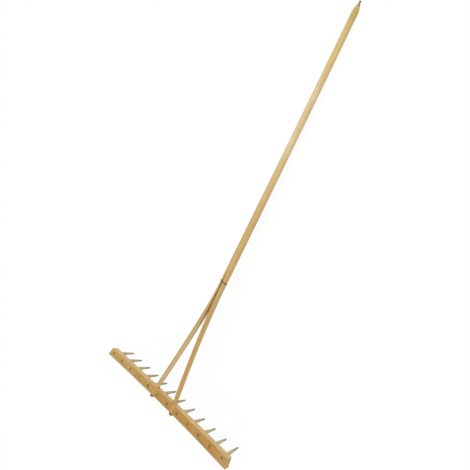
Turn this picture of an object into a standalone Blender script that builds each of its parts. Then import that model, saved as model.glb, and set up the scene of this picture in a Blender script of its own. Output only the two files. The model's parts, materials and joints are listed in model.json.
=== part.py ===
# A wooden hay rake: a planed head bar, round teeth driven through it, and a pole that is
# sawn down its middle at the head end, spread into two prongs and bound with wire.
#
# It is modelled with the head bar's middle at the origin: +X along the bar, +Y towards the
# pole's far tip, and the teeth pointing down. At the end it is leaned until it rests on the
# tooth tips and the pole's tip.

import bpy
import bmesh
from math import asin, cos, pi, radians, sin, tan
from mathutils import Euler, Matrix, Vector

# Driving dimensions, in metres and degrees

FIT_GAP = 0.0003          # clearance between two pieces that touch
CUT_OVERRUN = 0.0145      # how far a cutter runs past the faces that it cuts through

BAR_OVERHANG = 0.029      # from an end tooth's middle to the bar's end, on its long edge
BAR_END_SLANT = 0.007     # how much further in each end is on the edge that the prongs enter
BAR_WIDTH = 0.033
BAR_THICKNESS = 0.029
BAR_BOW = 0.0037          # how far the bar's ends bend away from the pole
BAR_END_FLARE = {-1: 0.0017, 1: 0.0042}    # how much wider than that each end is, on its outer side
BAR_EDGE_ROUNDING = 0.0018
BAR_OUTLINE_STEPS = 13    # odd, so that one flat stretch lies across the middle

TOOTH_COUNT = 12
TOOTH_PITCH = 0.060
TOOTH_REACH = 0.1025      # from the bar's front face to the blunt point
TOOTH_TENON_RADIUS = 0.0060
TOOTH_SHOULDER_STEP = 0.0006    # how much wider than its tenon a tooth is at the bar
TOOTH_BELLY_STEP = 0.0011       # and at its widest
TOOTH_POINT_RADIUS = 0.0026
# How much of the belly's girth is left over the point's, at shares of the tooth's reach
TOOTH_TAPER = {0.22: 1.0, 0.42: 0.87, 0.66: 0.53, 0.92: 0.26}
TOOTH_POINT_ROUNDING = 0.0015
TOOTH_SIDES = 16
LAST_TOOTH_OFF = (-0.0010, 0.0015)    # how far its hole is off, along the bar and to the pole
LAST_TOOTH_LEAN = (-0.9, 3.3)   # degrees that it leans, the same two ways
LAST_TOOTH_SHORT = 0.0012       # what it lacks in reach, so that its point is level with the rest

POLE_TIP_AT = 1.742       # distance from the bar's middle to the pole's far tip
POLE_RADIUS_AT_SPLIT = 0.0150
POLE_RADIUS_AT_TIP = 0.0130
POINT_LENGTH = 0.042      # the pencil-like point at the far tip
POINT_RADIUS = 0.0034
POINT_END_LENGTH = 0.0063       # the blunt end of that point
POINT_END_FLARE = 0.0005
POINT_ROUNDING = 0.0013
POLE_BOW = 0.0020         # how far its middle bends along the bar, above the binding
POLE_BOW_STEPS = 8
POLE_SET_OFF = 0.0132     # how far the pole stands to one side of the bar's middle
POLE_TILT = 5.36          # degrees that the pole rises from the bar's wide face
POLE_SKEW = 0.17          # degrees that it leans along the bar

SPLIT_PAST_WIRE = 0.026   # how far past the binding the saw cut ends
KERF_WIDTH = 0.0020
PRONG_SET_IN = 0.004      # how far a prong stands inside the middle of its gap between teeth
PRONG_DEPTH = 0.0155      # across the saw cut, near the bar
PRONG_HEIGHT = 0.0210     # along the saw cut, near the bar
PRONG_STIFFNESS = {-1: 0.40, 1: 2.0}    # how late each prong starts to spread; 0 is straight
PRONG_STATIONS = 15
HALF_ARC = 12             # steps round a prong's outer side
INNER_POINTS = 5          # points on its sawn side
SHOULDER_STAND_OFF = 0.0015     # from the bar to where a prong is fully round
SHOULDER_LENGTH = 0.036   # over which a prong is whittled round
PRONG_TENON_RADIUS = 0.0088
PRONG_TENON_SET_IN = 0.0055    # from a prong's sawn side to its tenon's axis
PRONG_TENON_PROUD = 0.0125
TENON_END_ROUNDING = 0.0022

WIRE_AT = 0.5395          # the binding's distance from the bar's middle
WIRE_RADIUS = 0.0009
WIRE_TILT = 17.0          # degrees that the ring leans on the pole
WIRE_TILT_TOWARDS = 50.0  # where round the pole it is highest, in degrees from the twist
WIRE_TWIST_TURNS = 3.0
WIRE_TWIST_LENGTH = 0.025
WIRE_TWIST_DROP = 0.0027  # from the ring's middle to where the twist starts
WIRE_STRAND_GAP = 0.0005
WIRE_RING_OPENING = 28.0  # degrees of the ring that the twist bridges
WIRE_RING_STEPS = 22
WIRE_STEPS_A_TURN = 12

# Values that follow from them

TOOTH_PLACES = [(i - (TOOTH_COUNT - 1) / 2) * TOOTH_PITCH for i in range(TOOTH_COUNT)]
BAR_LONG_EDGE = (TOOTH_COUNT - 1) * TOOTH_PITCH + 2 * BAR_OVERHANG
BAR_SHORT_EDGE = BAR_LONG_EDGE - 2 * BAR_END_SLANT
TOOTH_SHOULDER_RADIUS = TOOTH_TENON_RADIUS + TOOTH_SHOULDER_STEP
TOOTH_BELLY_RADIUS = TOOTH_TENON_RADIUS + TOOTH_BELLY_STEP
SPLIT_AT = WIRE_AT + SPLIT_PAST_WIRE
PRONG_GAP_AT = (TOOTH_PLACES[TOOTH_COUNT // 2] + TOOTH_PLACES[TOOTH_COUNT // 2 + 1]) / 2
PRONG_SPREAD = 2 * (PRONG_GAP_AT - PRONG_SET_IN)
POLE_TAPER = (POLE_RADIUS_AT_SPLIT - POLE_RADIUS_AT_TIP) / (POLE_TIP_AT - SPLIT_AT)
SHOULDER_END = BAR_WIDTH / 2 + SHOULDER_STAND_OFF
SHOULDER_START = SHOULDER_END + SHOULDER_LENGTH
PRONG_END = -(BAR_WIDTH / 2 + PRONG_TENON_PROUD)


def clear_scene():
    for old in list(bpy.data.objects):
        bpy.data.objects.remove(old, do_unlink=True)


def make_collection(name, for_cutters=False):
    collection = bpy.data.collections.new(name)
    bpy.context.scene.collection.children.link(collection)
    collection.hide_render = for_cutters
    return collection


def make_material(name, colour, roughness, metallic=0.0):
    material = bpy.data.materials.new(name)
    material.use_nodes = True
    shader = material.node_tree.nodes["Principled BSDF"]
    shader.inputs["Base Color"].default_value = (*colour, 1.0)
    shader.inputs["Roughness"].default_value = roughness
    shader.inputs["Metallic"].default_value = metallic
    return material


def add_mesh_object(name, mesh, collection, material=None):
    obj = bpy.data.objects.new(name, mesh)
    collection.objects.link(obj)
    if material:
        mesh.materials.clear()
        mesh.materials.append(material)
    return obj


def object_from_bmesh(name, bm, collection, material=None):
    bmesh.ops.recalc_face_normals(bm, faces=bm.faces)
    mesh = bpy.data.meshes.new(name)
    bm.to_mesh(mesh)
    bm.free()
    return add_mesh_object(name, mesh, collection, material)


def as_plain_mesh(obj):
    """Replaces an object's data with its evaluated mesh and drops its modifiers."""
    graph = bpy.context.evaluated_depsgraph_get()
    mesh = bpy.data.meshes.new_from_object(obj.evaluated_get(graph))
    bm = bmesh.new()
    bm.from_mesh(mesh)
    bmesh.ops.remove_doubles(bm, verts=bm.verts, dist=1e-6)
    bmesh.ops.recalc_face_normals(bm, faces=bm.faces)
    bm.to_mesh(mesh)
    bm.free()
    return mesh


def shade_round(obj, crease_angle=35.0):
    obj.data.shade_smooth()
    obj.data.set_sharp_from_angle(angle=radians(crease_angle))


def cut_with(obj, cutter):
    cutter.display_type = "WIRE"
    cutter.hide_render = True
    cut = obj.modifiers.new("Cut " + cutter.name, "BOOLEAN")
    cut.operation = "DIFFERENCE"
    cut.solver = "EXACT"
    cut.object = cutter


def join_rings(bm, rings):
    """Walls between rings of points that each have as many as the next."""
    for above, below in zip(rings, rings[1:]):
        for i in range(len(above)):
            j = (i + 1) % len(above)
            bm.faces.new((above[i], above[j], below[j], below[i]))


def close_rings(bm, rings):
    """The same with both ends closed."""
    join_rings(bm, rings)
    bm.faces.new(rings[0])
    bm.faces.new(rings[-1])


# The head bar

def bow_at(x):
    """How far the bar's middle line lies from the X axis at x."""
    return -BAR_BOW * (2 * x / BAR_LONG_EDGE) ** 2


def bar_edge(length, side):
    """Points from left to right along one edge of the bar's wide face."""
    points = []
    for i in range(BAR_OUTLINE_STEPS + 1):
        s = -0.5 + i / BAR_OUTLINE_STEPS
        y = side * BAR_WIDTH / 2 + bow_at(length * s)
        if side < 0:
            y -= BAR_END_FLARE[-1 if s < 0 else 1] * (2 * s) ** 2
        points.append((length * s, y))
    return points


def make_bar_blank(collection, material):
    outline = bpy.data.curves.new("head_bar_outline", "CURVE")
    outline.dimensions = "2D"
    outline.fill_mode = "BOTH"
    outline.extrude = BAR_THICKNESS / 2
    points = bar_edge(BAR_LONG_EDGE, -1) + list(reversed(bar_edge(BAR_SHORT_EDGE, 1)))
    spline = outline.splines.new("POLY")
    spline.points.add(len(points) - 1)
    for point, (x, y) in zip(spline.points, points):
        point.co = (x, y, 0.0, 1.0)
    spline.use_cyclic_u = True
    drawn = bpy.data.objects.new("head_bar_outline", outline)
    collection.objects.link(drawn)
    mesh = as_plain_mesh(drawn)
    bpy.data.objects.remove(drawn, do_unlink=True)
    bar = add_mesh_object("head_bar", mesh, collection, material)
    rounding = bar.modifiers.new("Eased edges", "BEVEL")
    rounding.width = BAR_EDGE_ROUNDING
    rounding.segments = 2
    rounding.limit_method = "ANGLE"
    rounding.angle_limit = radians(40)
    return bar


# The teeth. A tooth that isn't square to the bar is sheared, so that its tenon's end and its
# shoulder stay level with the bar's faces.

def tooth_place(number):
    x = TOOTH_PLACES[number - 1]
    off = LAST_TOOTH_OFF if number == TOOTH_COUNT else (0.0, 0.0)
    return Vector((x + off[0], bow_at(x) + off[1], 0.0))


def tooth_ring(bm, number, radius, height):
    """A ring of points round a tooth's middle line, from the tooth's own place."""
    down = BAR_THICKNESS / 2 - height
    lean = LAST_TOOTH_LEAN if number == TOOTH_COUNT else (0.0, 0.0)
    middle = [down * tan(radians(angle)) for angle in lean]
    turns = [2 * pi * i / TOOTH_SIDES for i in range(TOOTH_SIDES)]
    return [bm.verts.new((middle[0] + radius * cos(turn), middle[1] + radius * sin(turn), height))
            for turn in turns]


def tooth_profile(reach):
    """(radius, height) from the tenon's end, flush with the bar's back face, to the point."""
    front = -BAR_THICKNESS / 2 - FIT_GAP
    tip = front - reach
    swell = TOOTH_BELLY_RADIUS - TOOTH_POINT_RADIUS
    taper = [(TOOTH_POINT_RADIUS + left * swell, front - at * reach) for at, left in TOOTH_TAPER.items()]
    return [
        (TOOTH_TENON_RADIUS, BAR_THICKNESS / 2),
        (TOOTH_TENON_RADIUS, front),
        (TOOTH_SHOULDER_RADIUS, front),
        *taper,
        (TOOTH_POINT_RADIUS, tip + TOOTH_POINT_ROUNDING),
        (TOOTH_POINT_RADIUS / 2, tip),
    ]


def make_teeth(collection, material):
    teeth = []
    for number in range(1, TOOTH_COUNT + 1):
        reach = TOOTH_REACH - (LAST_TOOTH_SHORT if number == TOOTH_COUNT else 0.0)
        bm = bmesh.new()
        close_rings(bm, [tooth_ring(bm, number, *point) for point in tooth_profile(reach)])
        tooth = object_from_bmesh(f"tooth_{number:02d}", bm, collection, material)
        tooth.location = tooth_place(number)
        teeth.append(tooth)
    return teeth


def make_tooth_hole_cutter(collection):
    bm = bmesh.new()
    ends = (BAR_THICKNESS / 2 + CUT_OVERRUN, -BAR_THICKNESS / 2 - CUT_OVERRUN)
    for number in range(1, TOOTH_COUNT + 1):
        rings = [tooth_ring(bm, number, TOOTH_TENON_RADIUS + FIT_GAP, height) for height in ends]
        close_rings(bm, rings)
        bmesh.ops.translate(bm, verts=[vert for ring in rings for vert in ring], vec=tooth_place(number))
    return object_from_bmesh("tooth_hole_cutter", bm, collection)


# The split handle. Its own Z axis runs from the bar's middle to the tip, and its X axis
# along the bar, so the saw cut lies in its YZ plane.

def pole_radius(z):
    return POLE_RADIUS_AT_SPLIT - POLE_TAPER * (z - SPLIT_AT)


def pole_bow_at(z):
    """How far the pole's middle line lies to one side, above the binding."""
    share = (z - WIRE_AT) / (POLE_TIP_AT - WIRE_AT)
    return POLE_BOW * sin(pi * min(max(share, 0.0), 1.0))


def prong_shift(z, side):
    """How far a prong has moved sideways where it is z from the bar's middle."""
    sawn_side = PRONG_SPREAD / 2 - PRONG_TENON_SET_IN - KERF_WIDTH / 2
    reach = side * sawn_side - POLE_SET_OFF
    stiff = PRONG_STIFFNESS[side]
    s = (WIRE_AT - z) / WIRE_AT
    if s <= 0:
        return 0.0
    if s <= 1:
        return reach * s * s * (1 + stiff) / (s + stiff)
    slope = (1 + 2 * stiff) / (1 + stiff)
    return reach * (1 + slope * (s - 1))


def tenon_shift(z, side):
    """The same for the round end of a prong, which runs straight through the bar."""
    near, far = prong_shift(SHOULDER_END, side), prong_shift(PRONG_END, side)
    return near + (far - near) * (z - SHOULDER_END) / (PRONG_END - SHOULDER_END)


def prong_size(z):
    """A prong's depth across the saw cut and half its height, between the pole and the bar."""
    share = (SPLIT_AT - z) / (SPLIT_AT - SHOULDER_START)
    full_depth = POLE_RADIUS_AT_SPLIT - KERF_WIDTH / 2
    return (full_depth + (PRONG_DEPTH - full_depth) * share,
            POLE_RADIUS_AT_SPLIT + (PRONG_HEIGHT / 2 - POLE_RADIUS_AT_SPLIT) * share)


def half_ring(z, side, shift, core, depth, inner, height):
    """One cross-section of a half of the pole.

    core is how far its widest line lies from the sawn side, depth how far it bulges out from
    that line, and inner how far it bulges back towards the other half.
    """
    widest = side * (KERF_WIDTH / 2 + core) + shift
    lip = asin(KERF_WIDTH / 2 / POLE_RADIUS_AT_SPLIT)
    ring = []
    for i in range(HALF_ARC + 1):
        turn = (pi / 2 - lip) * (2 * i / HALF_ARC - 1)
        bulge = (cos(turn) - sin(lip)) / (1 - sin(lip))
        ring.append(Vector((widest + side * depth * bulge, height * sin(turn), z)))
    for i in range(INNER_POINTS):
        turn = pi / 2 * (1 - 2 * (i + 1) / (INNER_POINTS + 1))
        ring.append(Vector((widest - side * inner * cos(turn), height * sin(turn), z)))
    return ring


def tenon_ring(z, side, radius):
    return half_ring(z, side, tenon_shift(z, side), PRONG_TENON_SET_IN, radius, radius, radius)


def prong_rings(side):
    """Cross-sections from the end of the saw cut to the prong's rounded end."""
    rings = []
    for i in range(PRONG_STATIONS + 1):
        z = SPLIT_AT + (SHOULDER_START - SPLIT_AT) * i / PRONG_STATIONS
        depth, height = prong_size(z)
        rings.append(half_ring(z, side, prong_shift(z, side), 0.0, depth, 0.0, height))
    rings.append(tenon_ring(SHOULDER_END, side, PRONG_TENON_RADIUS))
    rings.append(tenon_ring(PRONG_END + TENON_END_ROUNDING, side, PRONG_TENON_RADIUS))
    rings.append(tenon_ring(PRONG_END, side, PRONG_TENON_RADIUS - TENON_END_ROUNDING))
    return rings


def make_split_handle(collection, material):
    bm = bmesh.new()
    halves = []
    for side in (-1, 1):
        rings = [[bm.verts.new(point) for point in ring] for ring in prong_rings(side)]
        join_rings(bm, rings)
        bm.faces.new(rings[-1])
        halves.append(rings[0])
    left, right = halves
    arc = HALF_ARC + 1
    end_of_cut = [left[0], right[0], *right[:HALF_ARC:-1], right[HALF_ARC], left[HALF_ARC], *left[arc:]]
    bm.faces.new(end_of_cut)
    split_ring = right[:arc] + left[:arc][::-1]
    outline = [vert.co.copy() for vert in split_ring]
    pole_rings = [split_ring]
    shoulder = POLE_TIP_AT - POINT_LENGTH
    steps = [SPLIT_AT + (shoulder - SPLIT_AT) * (i + 1) / POLE_BOW_STEPS for i in range(POLE_BOW_STEPS)]
    stations = [(z, pole_radius(z)) for z in steps] + [
        (POLE_TIP_AT - POINT_END_LENGTH, POINT_RADIUS + POINT_END_FLARE),
        (POLE_TIP_AT - POINT_ROUNDING, POINT_RADIUS),
        (POLE_TIP_AT, POINT_RADIUS - POINT_ROUNDING),
    ]
    for z, radius in stations:
        scale = radius / POLE_RADIUS_AT_SPLIT
        bow = pole_bow_at(z)
        pole_rings.append([bm.verts.new((bow + p.x * scale, p.y * scale, z)) for p in outline])
    join_rings(bm, pole_rings)
    bm.faces.new(pole_rings[-1])
    return object_from_bmesh("split_handle", bm, collection, material)


def make_mortise_cutter(collection):
    bm = bmesh.new()
    for side in (-1, 1):
        rings = []
        for z in (BAR_WIDTH / 2 + CUT_OVERRUN, -BAR_WIDTH / 2 - CUT_OVERRUN):
            ring = tenon_ring(z, side, PRONG_TENON_RADIUS + FIT_GAP)
            rings.append([bm.verts.new(point) for point in ring])
        close_rings(bm, rings)
    return object_from_bmesh("mortise_cutter", bm, collection)


def place_on_bar(obj):
    """Turns the handle's own Z axis to run from the bar's middle to the pole's tip."""
    obj.location = (POLE_SET_OFF, 0.0, 0.0)
    obj.rotation_euler = Euler((radians(POLE_TILT - 90), 0.0, radians(POLE_SKEW)))


# The binding wire: one unbroken wire, twisted on the side away from the teeth

def wire_route():
    strand = WIRE_RADIUS + WIRE_STRAND_GAP / 2
    depth, height = prong_size(WIRE_AT)
    ring_radius = max(KERF_WIDTH / 2 + depth, height) + FIT_GAP + WIRE_RADIUS
    twist_radius = ring_radius + strand
    steps = int(WIRE_STEPS_A_TURN * WIRE_TWIST_TURNS)
    twist_top = WIRE_AT - WIRE_TWIST_DROP

    def twisted(phase):
        """One of the two ends, from the ring down to where it is snipped off."""
        points = []
        for i in range(steps + 1):
            turn = phase + 2 * pi * WIRE_TWIST_TURNS * i / steps
            z = twist_top - WIRE_TWIST_LENGTH * i / steps
            points.append(Vector((strand * cos(turn), -twist_radius - strand * sin(turn), z)))
        return points

    ring = []
    for i in range(WIRE_RING_STEPS + 1):
        turn = radians(WIRE_RING_OPENING / 2 + (360 - WIRE_RING_OPENING) * i / WIRE_RING_STEPS)
        lift = tan(radians(WIRE_TILT)) * ring_radius * cos(turn + radians(WIRE_TILT_TOWARDS))
        ring.append(Vector((ring_radius * sin(turn), -ring_radius * cos(turn), WIRE_AT + lift)))
    return twisted(0.0)[::-1] + ring + twisted(pi)


def least_gap(route, radius):
    """The smallest gap between stretches of a wire that aren't neighbours."""
    apart = 8 * radius
    gaps = []
    for i, a in enumerate(route):
        run = 0.0
        for j in range(i + 1, len(route)):
            run += (route[j] - route[j - 1]).length
            if run > apart:
                gaps.append((route[j] - a).length - 2 * radius)
    return min(gaps)


def make_binding_wire(collection, material):
    route = wire_route()
    print(f"binding wire's least gap to itself: {least_gap(route, WIRE_RADIUS) * 1000:.2f} mm")
    path = bpy.data.curves.new("binding_wire", "CURVE")
    path.dimensions = "3D"
    path.bevel_depth = WIRE_RADIUS
    path.bevel_resolution = 2
    path.use_fill_caps = True
    spline = path.splines.new("POLY")
    spline.points.add(len(route) - 1)
    for point, place in zip(spline.points, route):
        point.co = (*place, 1.0)
    wire = bpy.data.objects.new("binding_wire", path)
    wire.data.materials.append(material)
    collection.objects.link(wire)
    return wire


# Setting the rake down

def world_points(objects, turn):
    """The corners of some objects' evaluated meshes, turned about the origin."""
    graph = bpy.context.evaluated_depsgraph_get()
    points = []
    for obj in objects:
        shown = obj.evaluated_get(graph)
        mesh = shown.to_mesh()
        points += [turn @ shown.matrix_world @ v.co for v in mesh.vertices]
        shown.to_mesh_clear()
    return points


def lowest_point(objects, lean):
    return min(point.z for point in world_points(objects, Matrix.Rotation(lean, 4, "X")))


def resting_lean(teeth, handle):
    """The lean at which the tooth tips and the pole's tip touch the same floor."""
    steep, flat = radians(-30), 0.0
    for _ in range(40):
        middle = (steep + flat) / 2
        if lowest_point([handle], middle) < lowest_point(teeth, middle):
            steep = middle
        else:
            flat = middle
    return (steep + flat) / 2


def set_down(parts, teeth, handle, cutters):
    """Leans the rake onto the floor and puts the origin under the middle of its outline."""
    bpy.context.view_layer.update()
    lean = resting_lean(teeth, handle)
    rest = bpy.data.objects.new("rest", None)
    bpy.context.scene.collection.objects.link(rest)
    points = world_points(parts, Matrix.Rotation(lean, 4, "X"))
    middles = [(min(p[axis] for p in points) + max(p[axis] for p in points)) / 2 for axis in (0, 1)]
    rest.location = (-middles[0], -middles[1], -min(p.z for p in points))
    rest.rotation_euler.x = lean
    for part in [*parts, *cutters]:
        part.parent = rest
    bpy.context.view_layer.update()
    return rest


def report_places(rest):
    """Prints the faces that a record of this part states, as places and outward directions."""
    faces = {
        "back face": ((0.0, 0.0, BAR_THICKNESS / 2), (0, 0, 1)),
        "handle-side face": ((0.0, BAR_WIDTH / 2 + bow_at(BAR_SHORT_EDGE / BAR_OUTLINE_STEPS / 2), 0.0),
                             (0, 1, 0)),
    }
    for name, (place, outward) in faces.items():
        point = rest.matrix_world @ Vector(place)
        normal = rest.matrix_world.to_3x3() @ Vector(outward)
        print(name, [round(v, 6) for v in point], [round(v, 6) for v in normal])


def main():
    clear_scene()
    parts = make_collection("wooden_rake")
    cutters = make_collection("cutters", for_cutters=True)
    bar_wood = make_material("bar_wood", (0.50, 0.27, 0.095), 0.6)
    tooth_wood = make_material("tooth_wood", (0.52, 0.41, 0.30), 0.7)
    handle_wood = make_material("handle_wood", (0.70, 0.52, 0.28), 0.5)
    dark_wire = make_material("dark_wire", (0.05, 0.04, 0.035), 0.5, 0.9)

    bar = make_bar_blank(parts, bar_wood)
    teeth = make_teeth(parts, tooth_wood)
    handle = make_split_handle(parts, handle_wood)
    wire = make_binding_wire(parts, dark_wire)
    tooth_holes = make_tooth_hole_cutter(cutters)
    mortises = make_mortise_cutter(cutters)
    for obj in (handle, wire, mortises):
        place_on_bar(obj)
    cut_with(bar, tooth_holes)
    cut_with(bar, mortises)
    for obj in (handle, *teeth):
        shade_round(obj)

    rest = set_down([bar, *teeth, handle, wire], teeth, handle, [tooth_holes, mortises])
    report_places(rest)


main()
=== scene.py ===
import json
from math import asin, cos, pi, radians, sin, tan

import bmesh
import bpy
import numpy as np
from mathutils import Euler, Matrix, Vector


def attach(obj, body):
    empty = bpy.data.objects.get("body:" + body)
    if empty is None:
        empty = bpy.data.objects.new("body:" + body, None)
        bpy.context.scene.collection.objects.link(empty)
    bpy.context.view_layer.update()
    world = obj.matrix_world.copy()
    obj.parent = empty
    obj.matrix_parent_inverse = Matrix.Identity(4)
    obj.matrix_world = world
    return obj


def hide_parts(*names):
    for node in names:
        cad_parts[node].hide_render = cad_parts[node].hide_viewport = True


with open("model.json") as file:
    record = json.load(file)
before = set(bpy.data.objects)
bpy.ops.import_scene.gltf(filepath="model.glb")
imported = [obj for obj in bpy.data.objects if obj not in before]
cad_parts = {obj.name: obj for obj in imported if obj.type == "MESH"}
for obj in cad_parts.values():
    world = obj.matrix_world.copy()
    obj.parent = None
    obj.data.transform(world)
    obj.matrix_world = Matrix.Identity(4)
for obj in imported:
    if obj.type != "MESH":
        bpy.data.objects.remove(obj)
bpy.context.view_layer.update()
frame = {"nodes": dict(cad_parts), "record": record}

# A wooden hay rake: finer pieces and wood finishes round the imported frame.
# Pieces are made in the rake's own axes (X along the head bar, Y towards the pole's tip,
# teeth down, the bar's middle at the origin) and then laid down as the frame lies.

print("Frame loaded:", len(frame["nodes"]), "nodes")

headBar = {
    "length": 0.718,            # on the edge away from the pole
    "endSlant": 0.007,          # how much further in each end is on the pole's side
    "width": 0.033,
    "thickness": 0.029,
    "bow": 0.0037,              # how far the ends bend away from the pole
    "leftFlare": 0.0017,        # how much wider the ends are, on the side away from the pole
    "rightFlare": 0.0042,
    "easing": 0.0018,           # rounding of the edges
    "easingWear": 0.4,          # how unevenly that rounding is worn, 0 to 1
    "planing": 0.00012,         # depth of the planed unevenness
    "knocks": 0.00035,          # depth of the small dents
    "holeGap": 0.0002,          # between a tooth's tenon and its hole
    "holeEasing": 0.0004,       # how much wider a hole's rim is
    "mortiseGap": 0.0003,
    "cutterSides": 48,
    "seed": 3.0,
}

backFace = next(mount for mount in frame["record"]["mounts"] if mount["name"] == "back_face")
leanAngle = -asin(backFace["axis"][1])
layDown = (Matrix.Translation(Vector(backFace["pos_m"]) - headBar["thickness"] / 2 * Vector(backFace["axis"]))
           @ Matrix.Rotation(leanAngle, 4, "X"))


# Small helpers

def srgb(red, green, blue):
    # a colour as it shows on a screen, 0 to 255, in the linear values that nodes use
    shares = [value / 255 for value in (red, green, blue)]
    return tuple(s / 12.92 if s <= 0.04045 else ((s + 0.055) / 1.055) ** 2.4 for s in shares) + (1.0,)


def eased(low, high, at):
    # 0 below low and 1 above high, with a soft passage between them
    share = np.clip((at - low) / (high - low), 0.0, 1.0)
    return share * share * (3 - 2 * share)


def newObject(name, data):
    obj = bpy.data.objects.new(name, data)
    bpy.context.scene.collection.objects.link(obj)
    return obj


def drop(*objects):
    for obj in objects:
        bpy.data.objects.remove(obj, do_unlink=True)


class Value:
    # a node's output to reckon with: each sign makes a maths node in the output's own tree
    def __init__(self, socket):
        self.socket, self.tree = socket, socket.id_data

    def other(self, name):
        return Value(self.socket.node.outputs[name])

    def __add__(self, more):
        return reckon("ADD", self, more)

    def __sub__(self, less):
        return reckon("SUBTRACT", self, less)

    def __rsub__(self, whole):
        return reckon("SUBTRACT", whole, self)

    def __mul__(self, times):
        return reckon("MULTIPLY", self, times)

    def __truediv__(self, parts):
        return reckon("DIVIDE", self, parts)

    def __rtruediv__(self, whole):
        return reckon("DIVIDE", whole, self)

    def __pow__(self, power):
        return reckon("POWER", self, power)

    def __abs__(self):
        return reckon("ABSOLUTE", self)


def feed(socket, value):
    if isinstance(value, Value):
        value.tree.links.new(value.socket, socket)
    else:
        socket.default_value = value


def feedAll(sockets, values):
    for title, value in values.items():
        feed(sockets[title], value)


def addNode(kind, inputs=None, output=0, tree=None, **settings):
    # goes into the tree that its inputs come from, unless one is given
    inputs = inputs or {}
    tree = tree or next(value.tree for value in inputs.values() if isinstance(value, Value))
    node = tree.nodes.new(kind)
    node.location = (200 * (len(tree.nodes) % 14), -260 * (len(tree.nodes) // 14))
    for name, value in settings.items():
        setattr(node, name, value)
    feedAll(node.inputs, inputs)
    return Value(node.outputs[output])


def reckon(operation, *values, output=0):
    # vector maths where one of the values is a vector, plain maths elsewhere
    vectors = [isinstance(value, tuple) or isinstance(value, Value) and value.socket.type in ("VECTOR", "RGBA")
               for value in values]
    if operation == "MULTIPLY" and vectors == [True, False]:
        return addNode("ShaderNodeVectorMath", {0: values[0], "Scale": values[1]}, operation="SCALE")
    kind = "ShaderNodeVectorMath" if any(vectors) else "ShaderNodeMath"
    return addNode(kind, dict(enumerate(values)), output, operation=operation)


def joinXYZ(x=0.0, y=0.0, z=0.0):
    return addNode("ShaderNodeCombineXYZ", {"X": x, "Y": y, "Z": z})


def splitXYZ(vector):
    x = addNode("ShaderNodeSeparateXYZ", {"Vector": vector})
    return x, x.other("Y"), x.other("Z")


def passage(value, low, high, atLow=0.0, atHigh=1.0, kind="SMOOTHSTEP"):
    return addNode("ShaderNodeMapRange", {0: value, 1: low, 2: high, 3: atLow, 4: atHigh},
                   interpolation_type=kind)


def noise(vector, scale=1.0, detail=2.0, roughness=0.5, output="Fac", distortion=0.0):
    return addNode("ShaderNodeTexNoise", {"Vector": vector, "Scale": scale, "Detail": detail,
                                          "Roughness": roughness, "Distortion": distortion}, output)


def voronoi(vector):
    return addNode("ShaderNodeTexVoronoi", {"Vector": vector, "Scale": 1.0, "Randomness": 1.0}, "Distance")


def blend(factor, first, second):
    return addNode("ShaderNodeMix", {0: factor, 6: first, 7: second}, 2, data_type="RGBA")


def startGroup(name, kind, inputs, outputs):
    # the type of each input's value gives its socket's type
    words = {float: "Float", int: "Int", tuple: "Vector", bpy.types.Object: "Object",
             bpy.types.Material: "Material"}
    tree = bpy.data.node_groups.new(name, kind)
    for title, value in inputs.items():
        word = "NodeSocket" + words[type(value)]
        socket = tree.interface.new_socket(title, in_out="INPUT", socket_type=word)
        if isinstance(value, (float, int, tuple)):
            socket.default_value = value
    word = "NodeSocketGeometry" if kind == "GeometryNodeTree" else "NodeSocketFloat"
    for title in outputs:
        tree.interface.new_socket(title, in_out="OUTPUT", socket_type=word)
    given = tree.nodes.new("NodeGroupInput").outputs
    made = tree.nodes.new("NodeGroupOutput")
    made.location = (3000, 0)
    return tree, {title: Value(given[title]) for title in inputs}, made.inputs


def place(group, inputs):
    node = addNode("ShaderNodeGroup", inputs, node_tree=group).socket.node
    return {socket.name: Value(socket) for socket in node.outputs}


def grow(name, build, values):
    # builds a Geometry Nodes group, runs it and keeps what it makes as a plain mesh
    tree, given, made = startGroup(name, "GeometryNodeTree", values, ("Geometry",))
    shape = addNode("GeometryNodeSetShadeSmooth", {"Geometry": build(tree, given)})
    shape = addNode("GeometryNodeSetMaterial", {"Geometry": shape, "Material": given["Finish"]})
    feed(made["Geometry"], shape)
    seedling = newObject(name, bpy.data.meshes.new(name + "Start"))
    growth = seedling.modifiers.new(name, "NODES")
    growth.node_group = tree
    for item in tree.interface.items_tree:
        if item.in_out == "INPUT":
            growth[item.identifier] = values[item.name]
    bpy.context.view_layer.update()
    mesh = bpy.data.meshes.new_from_object(seedling.evaluated_get(bpy.context.evaluated_depsgraph_get()))
    mesh.name = name
    seedling.modifiers.remove(growth)
    seedling.data = mesh
    return seedling


def ringMesh(name, points, places, faces):
    # a closed mesh with smooth shading; places are where its points lie in straight timber
    mesh = bpy.data.meshes.new(name)
    mesh.from_pydata(points.tolist(), [], faces)
    mesh.attributes.new("woodPlace", "FLOAT_VECTOR", "POINT").data.foreach_set("vector", places.ravel())
    shape = bmesh.new()
    shape.from_mesh(mesh)
    bmesh.ops.remove_doubles(shape, verts=shape.verts, dist=2e-6)
    bmesh.ops.recalc_face_normals(shape, faces=shape.faces)
    shape.to_mesh(mesh)
    shape.free()
    mesh.shade_smooth()
    return mesh


def walls(rings):
    # faces between rings of point numbers that each have as many as the next
    return [(near[i], near[(i + 1) % len(near)], far[(i + 1) % len(near)], far[i])
            for near, far in zip(rings, rings[1:]) for i in range(len(near))]


def tube(name, sections):
    # a closed piece through sections that all have as many points
    sides, points = len(sections[0]), np.concatenate(sections)
    rings = [list(range(i * sides, (i + 1) * sides)) for i in range(len(sections))]
    return ringMesh(name, points, points, walls(rings) + [tuple(rings[0]), tuple(rings[-1])])


def turnsOf(sides):
    return 2 * pi * np.arange(sides) / sides


def atHeight(x, y, z):
    return np.column_stack([x, y, np.full(len(x), z)])


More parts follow.
